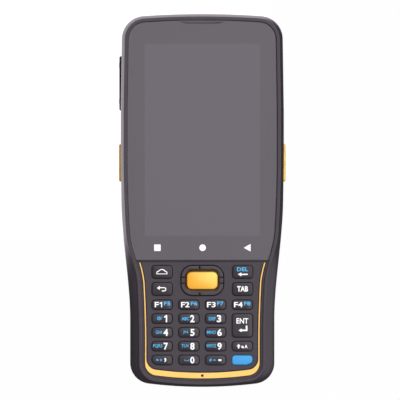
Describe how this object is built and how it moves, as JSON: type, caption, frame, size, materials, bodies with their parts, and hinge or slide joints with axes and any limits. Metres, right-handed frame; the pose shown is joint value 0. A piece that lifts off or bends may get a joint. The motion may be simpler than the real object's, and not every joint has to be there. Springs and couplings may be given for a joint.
{
  "type": "portable barcode data terminal",
  "caption": "Rugged handheld barcode data terminal with a touch panel above a sprung keypad, side triggers, a scan window in its top end and a battery pack latched in its back.",
  "frame": {"origin": "centre of the bounding box on the plane that the back rests on", "axes": "+Z out of the touch panel, +Y along the length to the scan end, +X across to the right as the panel is read"},
  "size_m": [0.0756, 0.1692, 0.026],
  "materials": {
    "housing": "fine moulded texture",
    "keypad_plate": "fine moulded texture",
    "panel": "dark touch panel, switched off",
    "yellow": "satin yellow",
    "key_dark": "dark satin key with printed legends",
    "key_blue": "blue satin key",
    "rocker": "black",
    "ring": "dark satin",
    "seal": "soft",
    "mat": "silicone",
    "display": "display module",
    "tray": "stamped",
    "board": "solder mask",
    "steel": "plated",
    "gold": "gold plated",
    "module": "black",
    "window": "dark red filter",
    "lens": "milky"
  },
  "bodies": {
    "terminal": {"front_housing": "housing", "rear_housing": "housing", "housing_seal": "seal", "touch_panel": "panel", "display_module": "display", "display_tray": "tray", "receiver_mesh": "steel", "receiver": "steel", "keypad_plate": "keypad_plate", "keypad_trim": "yellow", "keypad_mat": "mat", "keypad_board": "board", "main_board": "board", "scan_engine": "module", "scan_window": "window", "camera_module": "module", "camera_window": "module", "flash_lens": "lens", "speaker": "module", "microphone": "gold", "charging_contacts": "gold", "usb_connector": "steel", "housing_screws": "steel", "strap_inserts": "gold", "battery_contacts": "gold", "vibration_motor": "steel", "side_switches": "module"},
    "key_home": {"key_home": "key_dark"},
    "key_back": {"key_back": "key_dark"},
    "key_delete": {"key_delete": "key_dark"},
    "key_tab": {"key_tab": "key_dark"},
    "key_f1": {"key_f1": "key_dark"},
    "key_f2": {"key_f2": "key_dark"},
    "key_f3": {"key_f3": "key_dark"},
    "key_f4": {"key_f4": "key_dark"},
    "key_1": {"key_1": "key_dark"},
    "key_2": {"key_2": "key_dark"},
    "key_3": {"key_3": "key_dark"},
    "key_4": {"key_4": "key_dark"},
    "key_5": {"key_5": "key_dark"},
    "key_6": {"key_6": "key_dark"},
    "key_7": {"key_7": "key_dark"},
    "key_8": {"key_8": "key_dark"},
    "key_9": {"key_9": "key_dark"},
    "key_comma": {"key_comma": "key_dark"},
    "key_0": {"key_0": "key_dark"},
    "key_dash": {"key_dash": "key_dark"},
    "key_enter": {"key_enter": "key_dark"},
    "key_shift": {"key_shift": "key_dark"},
    "key_function": {"key_function": "key_blue"},
    "scan_key": {"scan_key": "yellow"},
    "nav_ring": {"nav_ring": "ring"},
    "nav_gimbal": {"nav_gimbal": "steel"},
    "trigger_left": {"trigger_left": "yellow"},
    "trigger_right": {"trigger_right": "yellow"},
    "volume_rocker": {"volume_rocker": "rocker"},
    "power_button": {"power_button": "rocker"},
    "battery_pack": {"battery_pack": "housing"},
    "battery_latch": {"battery_latch": "rocker"}
  },
  "joints": [
    {"name": "scan_key_press", "type": "slide", "parent": "terminal", "child": "scan_key", "axis": [0, 0, -1], "range_m": [0, 0.0004], "stiffness_N_per_m": 500},
    {"name": "trigger_left_press", "type": "slide", "parent": "terminal", "child": "trigger_left", "axis": [1, 0, 0], "range_m": [0, 0.0005], "stiffness_N_per_m": 800},
    {"name": "trigger_right_press", "type": "slide", "parent": "terminal", "child": "trigger_right", "axis": [-1, 0, 0], "range_m": [0, 0.0005], "stiffness_N_per_m": 800},
    {"name": "power_press", "type": "slide", "parent": "terminal", "child": "power_button", "axis": [0, -1, 0], "range_m": [0, 0.0004], "stiffness_N_per_m": 500},
    {"name": "latch_slide", "type": "slide", "parent": "terminal", "child": "battery_latch", "axis": [0, 1, 0], "range_m": [0, 0.003]},
    {"name": "nav_tilt_side", "type": "hinge", "parent": "terminal", "child": "nav_gimbal", "pos_m": [0, -0.03625, 0.02263], "axis": [0, 1, 0], "range_deg": [-2, 2], "stiffness_Nm_per_rad": 0.5},
    {"name": "nav_tilt_up", "type": "hinge", "parent": "nav_gimbal", "child": "nav_ring", "pos_m": [0, -0.03625, 0.02323], "axis": [1, 0, 0], "range_deg": [-3, 3], "stiffness_Nm_per_rad": 0.5},
    {"name": "volume_rock", "type": "hinge", "parent": "terminal", "child": "volume_rocker", "pos_m": [-0.0339, 0.05315, 0.0102], "axis": [0, 0, 1], "range_deg": [-1.5, 1.5], "stiffness_Nm_per_rad": 0.5},
    {"name": "battery_swing", "type": "hinge", "parent": "terminal", "child": "battery_pack", "pos_m": [0, -0.06395, 0.002], "axis": [-1, 0, 0], "range_deg": [0, 40]},
    {"name": "key_home_press", "type": "slide", "parent": "terminal", "child": "key_home", "axis": [0, 0, -1], "range_m": [0, 0.0004], "stiffness_N_per_m": 500},
    {"name": "key_back_press", "type": "slide", "parent": "terminal", "child": "key_back", "axis": [0, 0, -1], "range_m": [0, 0.0004], "stiffness_N_per_m": 500},
    {"name": "key_delete_press", "type": "slide", "parent": "terminal", "child": "key_delete", "axis": [0, 0, -1], "range_m": [0, 0.0004], "stiffness_N_per_m": 500},
    {"name": "key_tab_press", "type": "slide", "parent": "terminal", "child": "key_tab", "axis": [0, 0, -1], "range_m": [0, 0.0004], "stiffness_N_per_m": 500},
    {"name": "key_f1_press", "type": "slide", "parent": "terminal", "child": "key_f1", "axis": [0, 0, -1], "range_m": [0, 0.0004], "stiffness_N_per_m": 500},
    {"name": "key_f2_press", "type": "slide", "parent": "terminal", "child": "key_f2", "axis": [0, 0, -1], "range_m": [0, 0.0004], "stiffness_N_per_m": 500},
    {"name": "key_f3_press", "type": "slide", "parent": "terminal", "child": "key_f3", "axis": [0, 0, -1], "range_m": [0, 0.0004], "stiffness_N_per_m": 500},
    {"name": "key_f4_press", "type": "slide", "parent": "terminal", "child": "key_f4", "axis": [0, 0, -1], "range_m": [0, 0.0004], "stiffness_N_per_m": 500},
    {"name": "key_1_press", "type": "slide", "parent": "terminal", "child": "key_1", "axis": [0, 0, -1], "range_m": [0, 0.0004], "stiffness_N_per_m": 500},
    {"name": "key_2_press", "type": "slide", "parent": "terminal", "child": "key_2", "axis": [0, 0, -1], "range_m": [0, 0.0004], "stiffness_N_per_m": 500},
    {"name": "key_3_press", "type": "slide", "parent": "terminal", "child": "key_3", "axis": [0, 0, -1], "range_m": [0, 0.0004], "stiffness_N_per_m": 500},
    {"name": "key_4_press", "type": "slide", "parent": "terminal", "child": "key_4", "axis": [0, 0, -1], "range_m": [0, 0.0004], "stiffness_N_per_m": 500},
    {"name": "key_5_press", "type": "slide", "parent": "terminal", "child": "key_5", "axis": [0, 0, -1], "range_m": [0, 0.0004], "stiffness_N_per_m": 500},
    {"name": "key_6_press", "type": "slide", "parent": "terminal", "child": "key_6", "axis": [0, 0, -1], "range_m": [0, 0.0004], "stiffness_N_per_m": 500},
    {"name": "key_7_press", "type": "slide", "parent": "terminal", "child": "key_7", "axis": [0, 0, -1], "range_m": [0, 0.0004], "stiffness_N_per_m": 500},
    {"name": "key_8_press", "type": "slide", "parent": "terminal", "child": "key_8", "axis": [0, 0, -1], "range_m": [0, 0.0004], "stiffness_N_per_m": 500},
    {"name": "key_9_press", "type": "slide", "parent": "terminal", "child": "key_9", "axis": [0, 0, -1], "range_m": [0, 0.0004], "stiffness_N_per_m": 500},
    {"name": "key_comma_press", "type": "slide", "parent": "terminal", "child": "key_comma", "axis": [0, 0, -1], "range_m": [0, 0.0004], "stiffness_N_per_m": 500},
    {"name": "key_0_press", "type": "slide", "parent": "terminal", "child": "key_0", "axis": [0, 0, -1], "range_m": [0, 0.0004], "stiffness_N_per_m": 500},
    {"name": "key_dash_press", "type": "slide", "parent": "terminal", "child": "key_dash", "axis": [0, 0, -1], "range_m": [0, 0.0004], "stiffness_N_per_m": 500},
    {"name": "key_enter_press", "type": "slide", "parent": "terminal", "child": "key_enter", "axis": [0, 0, -1], "range_m": [0, 0.0004], "stiffness_N_per_m": 500},
    {"name": "key_shift_press", "type": "slide", "parent": "terminal", "child": "key_shift", "axis": [0, 0, -1], "range_m": [0, 0.0004], "stiffness_N_per_m": 500},
    {"name": "key_function_press", "type": "slide", "parent": "terminal", "child": "key_function", "axis": [0, 0, -1], "range_m": [0, 0.0004], "stiffness_N_per_m": 500}
  ]
}
